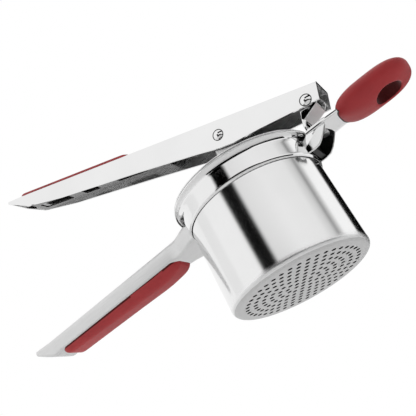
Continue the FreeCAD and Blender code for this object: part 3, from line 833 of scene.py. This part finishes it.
# The arm: a flat strip into the knob, with two cheeks folded down onto the collar's band.
arm = {
    "top": 63.6, "sheet": 2.0, "half": 9.6, "end": 75.5, "collar": 44.85, "edge": 0.35,
    "taperFrom": 55.0, "taperTo": 63.5, "shoulder": 0.8, "endNarrow": 4.0,
    "cheek": [(39.8, 52.4), (44.0, 52.4), (47.2, 53.0), (49.8, 54.9), (52.2, 57.4), (54.8, 60.6),
              (55.6, 62.2), (44.3, 62.2), (42.9, 61.0), (41.5, 60.2), (39.8, 59.4)],
    "cheekSheet": 1.5, "cheekLean": 0.082, "leanFrom": 41.5,
    "seat": [(41.5, 53.2), (44.4, 53.2), (44.4, 60.4), (41.5, 60.0)], "seatInset": 1.0,
    "slotInset": 0.5, "slotReach": 0.05, "slotLip": 0.4, "slotEnd": 70.0, "slotRows": 12,
}


def makeArm(s):
    bm = bmesh.new()
    low, high = s["top"] - s["sheet"], s["top"]
    spread = math.degrees(math.asin(s["half"] / s["collar"]))
    plan = arc((0, 0), s["collar"], spread, -spread, 12)
    plan += [(s["taperFrom"], -s["half"]), (s["taperTo"], -s["half"] + s["shoulder"])]
    plan += [(s["end"], -s["half"] + s["endNarrow"]), (s["end"], s["half"] - s["endNarrow"])]
    plan += [(s["taperTo"], s["half"] - s["shoulder"]), (s["taperFrom"], s["half"])]
    raisedPlan(bm, plan, low, high)
    for side in (-1, 1):
        before = set(bm.verts)
        plate(bm, s["cheek"], side * (s["half"] - s["cheekSheet"]), side * s["half"])
        for vert in set(bm.verts) - before:
            vert.co.y -= side * s["cheekLean"] * (vert.co.x - s["leanFrom"])
    facesOut(bm)
    chamfer(bm, sharpEdges(bm, 50), s["edge"], 3)
    # the cheeks' inner faces, the filler between them and the line at the knob take painted shade
    polished = {face for face in bm.faces if not insideCheeks(face, s)}
    # a filler block between the cheeks against the collar, all painted shade
    plate(bm, s["seat"], -s["half"] + s["seatInset"], s["half"] - s["seatInset"])
    knobSlotShadow(bm, s, knob)
    facesOut(bm)
    for face in bm.faces:
        face.material_index = int(face not in polished)
    piece = finishPiece("potRestArm", bm, "frame", mirror, ["pot_rest_arm"],
                        smoothAngle=35)
    piece.data.materials.append(paintedShadeSteel)
    return piece


def insideCheeks(face, s):
    # the cheeks' faces that look at each other
    middle = face.calc_center_median()
    if middle.z > s["top"] - s["sheet"] - 0.1 or abs(face.normal.y) < 0.7:
        return False
    return middle.y * face.normal.y < 0


def knobSlotShadow(bm, s, k):
    # painted shadow: a dark line round the strip where it enters the knob, along the knob's plan outline
    half = s["half"] - s["slotInset"]
    front = []
    for i in range(s["slotRows"] + 1):
        y = between(-half, half, i / s["slotRows"])
        reach = (1 - abs(y / k["wide"]) ** k["plan"]) ** (1 / k["plan"])
        front.append((k["x"] - (k["long"] + s["slotReach"]) * reach, y))
    outline = front + [(s["slotEnd"], half), (s["slotEnd"], -half)]
    raisedPlan(bm, outline, s["top"] - s["sheet"] - s["slotLip"], s["top"] + s["slotLip"])


makeArm(arm)
print("hinge and arm made")


carried = {
    "lower_handle_core": dark, "grip_core": dark, "hinge_bush": plateSteel, "arm_rivets": plateSteel,
    "pivot_washers": plateSteel, "plunger_washers": plateSteel, "plunger_yoke": plateSteel,
    "plunger_bush": plateSteel, "plunger_disc": plateSteel, "disc_rivets": plateSteel,
}
for nodeName, material in carried.items():
    mesh = frame["nodes"][nodeName].data
    mesh.materials.clear()
    mesh.materials.append(material)
print("carried nodes finished:", len(carried))


camera = {
    "distance": 292.9, "height": -78.5, "azimuth": 17.0, "yaw": -5.0, "pitch": 25.9, "roll": 27.87,
    "lens": 50.0, "sensor": 36.0,
}


def makeCamera(s):
    yaw, pitch, roll = (math.radians(s[key]) for key in ("yaw", "pitch", "roll"))
    ahead = Vector((math.sin(yaw) * math.cos(pitch), math.cos(yaw) * math.cos(pitch), math.sin(pitch)))
    level = Vector((math.cos(yaw), -math.sin(yaw), 0))
    upward = level.cross(ahead)
    right = math.cos(roll) * level - math.sin(roll) * upward
    top = math.sin(roll) * level + math.cos(roll) * upward
    place = Matrix((right, top, -ahead)).transposed().to_4x4()
    place.translation = Vector((0, -s["distance"], s["height"])) * mm
    data = bpy.data.cameras.new("camera")
    data.lens = s["lens"]
    data.sensor_width = s["sensor"]
    data.clip_start = 0.01
    made = bpy.data.objects.new("camera", data)
    made.matrix_world = Matrix.Rotation(math.radians(s["azimuth"]), 4, "Z") @ place
    bpy.context.scene.collection.objects.link(made)
    bpy.context.scene.camera = made


makeCamera(camera)

stage = {"floor": -0.17, "size": 8.0, "world": 1.0}


def stagePiece(name, bm, material, cameraSees):
    mesh = bpy.data.meshes.new(name)
    bm.to_mesh(mesh)
    bm.free()
    piece = bpy.data.objects.new(name, mesh)
    mesh.materials.append(material)
    bpy.context.scene.collection.objects.link(piece)
    piece.visible_camera = cameraSees
    return piece


def paleFloor():
    made = Shader("paleFloor")
    speck = made.noise(made.place, 6.0, 2.0)
    made.varying(Base_Color=made.ramp(speck, [(0.0, grey(0.86)), (1.0, grey(0.90))]))
    made.fixed(Roughness=0.9)
    return made.material


def makeFloor(s):
    bm = bmesh.new()
    bmesh.ops.create_grid(bm, x_segments=1, y_segments=1, size=s["size"] / 2)
    stagePiece("floor", bm, paleFloor(), True).location.z = s["floor"]


makeFloor(stage)

# A curved screen in front of the object: soft white with black gaps that the polished steel mirrors.
# Each stop is an azimuth in degrees, anticlockwise from +X, and the screen's brightness there.
screen = {
    "radius": 1.0, "low": 0.13, "high": 0.575, "from": -180.0, "to": 90.0, "around": 108,
    "stops": [
        (-180, 0.90), (-158, 0.92), (-152, 1.0), (-116, 1.0), (-111, 0.0), (-92, 0.0), (-87, 0.84),
        (-50, 0.95), (-10, 0.90), (4, 0.68), (10, 0.30), (16, 0.66), (22, 1.05), (49, 1.05), (53, 0.0),
        (82, 0.0), (86, 0.9),
    ],
}


def screenMaterial(s):
    made = Shader("screenLight")
    parts = made.tree.nodes.new("ShaderNodeSeparateXYZ")
    made.tree.links.new(made.place.socket, parts.inputs[0])
    x, y = Value(made, parts.outputs["X"]), Value(made, parts.outputs["Y"])
    turn = made.node("ShaderNodeMath", {"operation": "ARCTAN2"}, {0: y, 1: x})
    share = (turn * (180 / math.pi) + 180) / 360
    stops = [((azimuth + 180) / 360, grey(level)) for azimuth, level in s["stops"]]
    made.varying(Emission_Color=made.ramp(share, stops))
    made.fixed(Emission_Strength=1.0, Base_Color=grey(0.0), Roughness=1.0, Specular_IOR_Level=0.0)
    return made.material


def makeScreen(s):
    bm = bmesh.new()
    turns = [math.radians(between(s["from"], s["to"], i / s["around"])) for i in range(s["around"] + 1)]
    around = [(s["radius"] * math.cos(t), s["radius"] * math.sin(t)) for t in turns]
    low, high = ([bm.verts.new((x, y, s[side])) for x, y in around] for side in ("low", "high"))
    for i in range(s["around"]):
        bm.faces.new((low[i], low[i + 1], high[i + 1], high[i]))
    stagePiece("screen", bm, screenMaterial(s), False)


makeScreen(screen)

# Dark boards, mirrored by the rims, the rivets' domes and the folded steel round the hinge.
darkBoards = [
    {"radius": 0.95, "low": -0.16, "high": 0.18, "from": -116.0, "to": -40.0, "around": 28, "tapered": True},
    {"radius": 0.80, "low": -0.16, "high": 0.02, "from": -44.0, "to": 10.0, "around": 22, "tapered": False},
    {"radius": 1.00, "low": -0.16, "high": 0.135, "from": 50.0, "to": 84.0, "around": 14, "tapered": False},
    {"radius": 0.90, "low": 0.55, "high": 1.25, "from": -84.0, "to": 6.0, "around": 24, "tapered": False},
]


def blackCloth():
    made = Shader("blackCloth")
    weave = made.noise(made.place, 300.0, 2.0)
    made.varying(Base_Color=made.ramp(weave, [(0.3, grey(0.006)), (0.7, grey(0.012))]))
    made.fixed(Roughness=0.95, Specular_IOR_Level=0.1)
    return made.material


def boardHeight(s, share):
    # a tapered board is highest in its middle
    swell = math.sqrt(max(0.0, 1 - (2 * share - 1) ** 2)) if s["tapered"] else 1.0
    return between(s["low"] * 0.2, s["high"], swell) if s["tapered"] else s["high"]


def makeDarkBoards(boards, cloth):
    for number, s in enumerate(boards):
        bm = bmesh.new()
        low, high = [], []
        for i in range(s["around"] + 1):
            turn = math.radians(between(s["from"], s["to"], i / s["around"]))
            x, y = s["radius"] * math.cos(turn), s["radius"] * math.sin(turn)
            low.append(bm.verts.new((x, y, s["low"])))
            high.append(bm.verts.new((x, y, boardHeight(s, i / s["around"]))))
        for i in range(s["around"]):
            bm.faces.new((low[i], low[i + 1], high[i + 1], high[i]))
        stagePiece("darkBoard" + str(number), bm, cloth, False)


makeDarkBoards(darkBoards, blackCloth())


def makeWorld(s):
    world = bpy.data.worlds.new("studio")
    world.use_nodes = True
    world.node_tree.nodes["Background"].inputs["Color"].default_value = (1.0, 1.0, 1.0, 1.0)
    world.node_tree.nodes["Background"].inputs["Strength"].default_value = s["world"]
    bpy.context.scene.world = world
    bpy.context.scene.view_settings.view_transform = "Standard"


makeWorld(stage)
